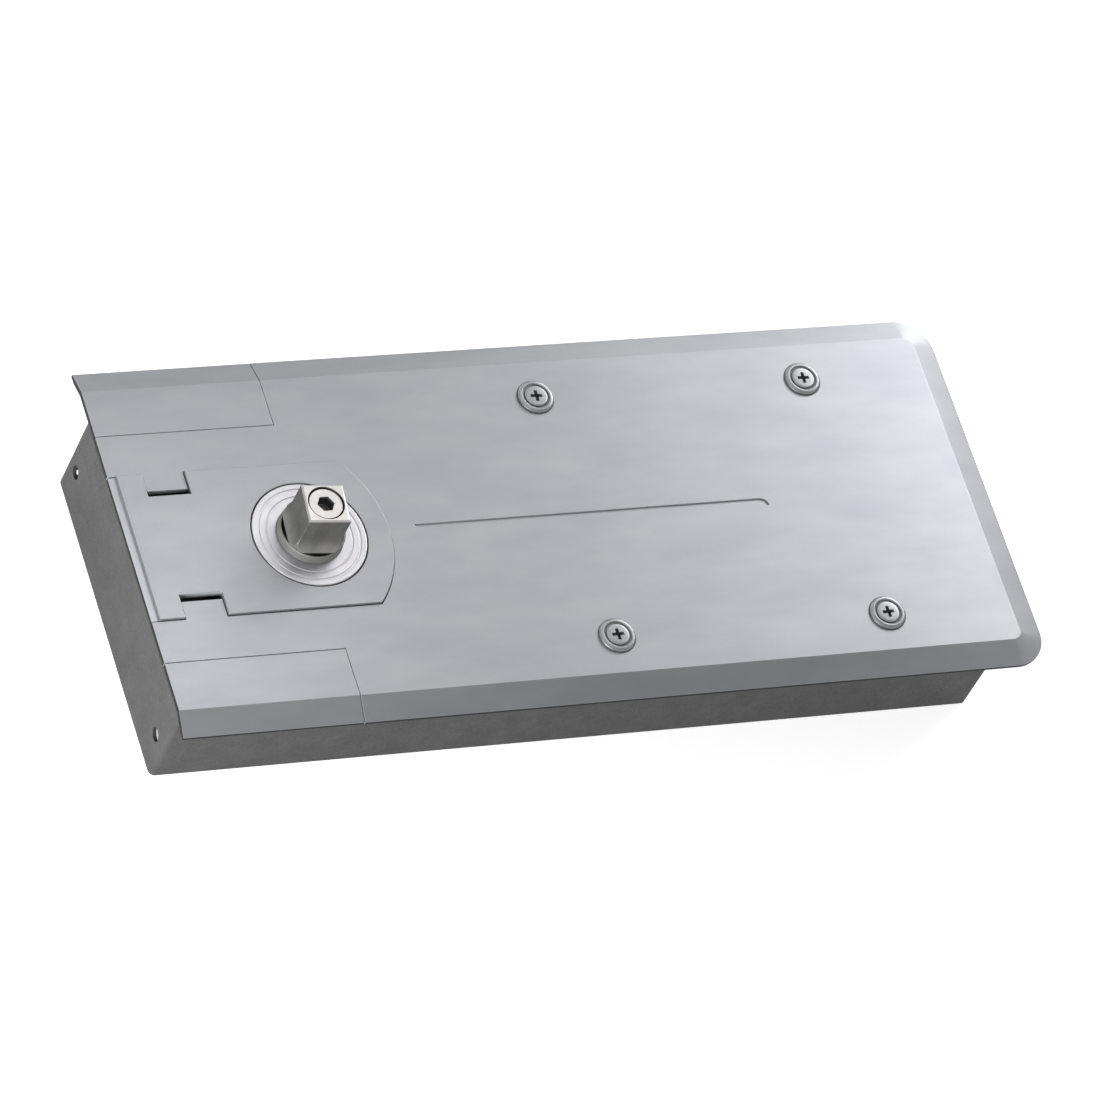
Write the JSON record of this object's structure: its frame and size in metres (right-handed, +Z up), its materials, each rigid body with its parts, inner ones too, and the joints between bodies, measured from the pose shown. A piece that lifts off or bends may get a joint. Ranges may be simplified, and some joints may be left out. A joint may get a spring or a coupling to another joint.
{
  "type": "floor spring",
  "caption": "Floor spring for a swing door: a heart-cam closer in a sheet-steel cement box under a bevelled stainless cover, with a square spindle insert standing in a turned ring.",
  "frame": {"origin": "on the spindle's axis, at the cover's top face", "axes": "+Z up along the spindle, +X along the cover to its far bevelled end, +Y to the back"},
  "size_m": [0.3583, 0.16, 0.0746],
  "materials": {
    "stainless_cover": "satin",
    "dark_sheet_steel": "matt, faintly cloudy",
    "plated_fasteners": "bright zinc plating",
    "cast_iron": "painted casting",
    "tool_steel": "ground and hardened",
    "bronze": "sintered bronze",
    "seal_rubber": "moulded",
    "plated_spindle": "pale plating over turned and milled steel"
  },
  "bodies": {
    "root": {"cover_plate": "stainless_cover", "spindle_access_plate": "stainless_cover", "corner_plate_back": "stainless_cover", "corner_plate_front": "stainless_cover", "backing_frame": "dark_sheet_steel", "cover_lugs": "dark_sheet_steel", "cement_box": "dark_sheet_steel", "floor_bosses": "dark_sheet_steel", "cup_washers": "plated_fasteners", "cover_screws": "plated_fasteners", "lug_nuts": "plated_fasteners", "levelling_screws": "plated_fasteners", "hold_down_screws": "plated_fasteners", "closer_body": "cast_iron", "body_lid": "cast_iron", "end_plug": "cast_iron", "lid_screws": "tool_steel", "power_spring": "tool_steel", "upper_bearing": "bronze", "lower_bearing": "bronze", "lid_gasket": "seal_rubber", "spindle_seal": "seal_rubber", "plug_seal": "seal_rubber"},
    "spindle": {"spindle": "plated_spindle", "spindle_ring": "plated_spindle", "spindle_insert": "plated_spindle", "spindle_screw": "plated_spindle", "heart_cam": "tool_steel", "cam_key": "tool_steel"},
    "carriage": {"lower_carriage_plate": "tool_steel", "upper_carriage_plate": "tool_steel", "carriage_yoke": "tool_steel", "yoke_pins": "plated_fasteners", "roller_pins": "plated_fasteners", "piston_rod": "tool_steel", "piston": "cast_iron", "piston_seal": "seal_rubber", "check_ball": "plated_fasteners"},
    "drive_roller": {"drive_roller": "tool_steel"},
    "return_roller": {"return_roller": "tool_steel"},
    "spring_adjuster": {"spring_adjuster": "tool_steel"},
    "closing_valve": {"closing_speed_valve": "plated_fasteners", "closing_valve_seal": "seal_rubber"},
    "latching_valve": {"latching_valve": "plated_fasteners", "latching_valve_seal": "seal_rubber"}
  },
  "joints": [
    {"name": "spindle_turn", "type": "hinge", "parent": "root", "child": "spindle", "pos_m": [0, 0, 0], "axis": [0, 0, 1], "range_deg": [0, 130], "stiffness_Nm_per_rad": 8, "springref_deg": -20.05},
    {"name": "carriage_slide", "type": "slide", "parent": "root", "child": "carriage", "axis": [1, 0, 0], "range_m": [0, 0.0165], "deforming": ["power_spring"]},
    {"name": "drive_roller_spin", "type": "hinge", "parent": "carriage", "child": "drive_roller", "pos_m": [0.021, 0, -0.02775], "axis": [0, 0, 1], "continuous": true},
    {"name": "return_roller_spin", "type": "hinge", "parent": "carriage", "child": "return_roller", "pos_m": [-0.04038, 0, -0.02775], "axis": [0, 0, 1], "continuous": true},
    {"name": "spring_adjuster_turn", "type": "hinge", "parent": "root", "child": "spring_adjuster", "pos_m": [0.2365, 0, -0.02775], "axis": [1, 0, 0], "range_deg": [-360, 360]},
    {"name": "closing_valve_turn", "type": "hinge", "parent": "root", "child": "closing_valve", "pos_m": [0.0835, 0.0224, -0.025], "axis": [0, 0, 1], "range_deg": [-180, 360]},
    {"name": "latching_valve_turn", "type": "hinge", "parent": "root", "child": "latching_valve", "pos_m": [0.1435, 0.0224, -0.025], "axis": [0, 0, 1], "range_deg": [-180, 360]}
  ],
  "couplings": [
    {"joint": "carriage_slide", "follows": "spindle_turn", "m_per_rad": 0.0061703}
  ]
}
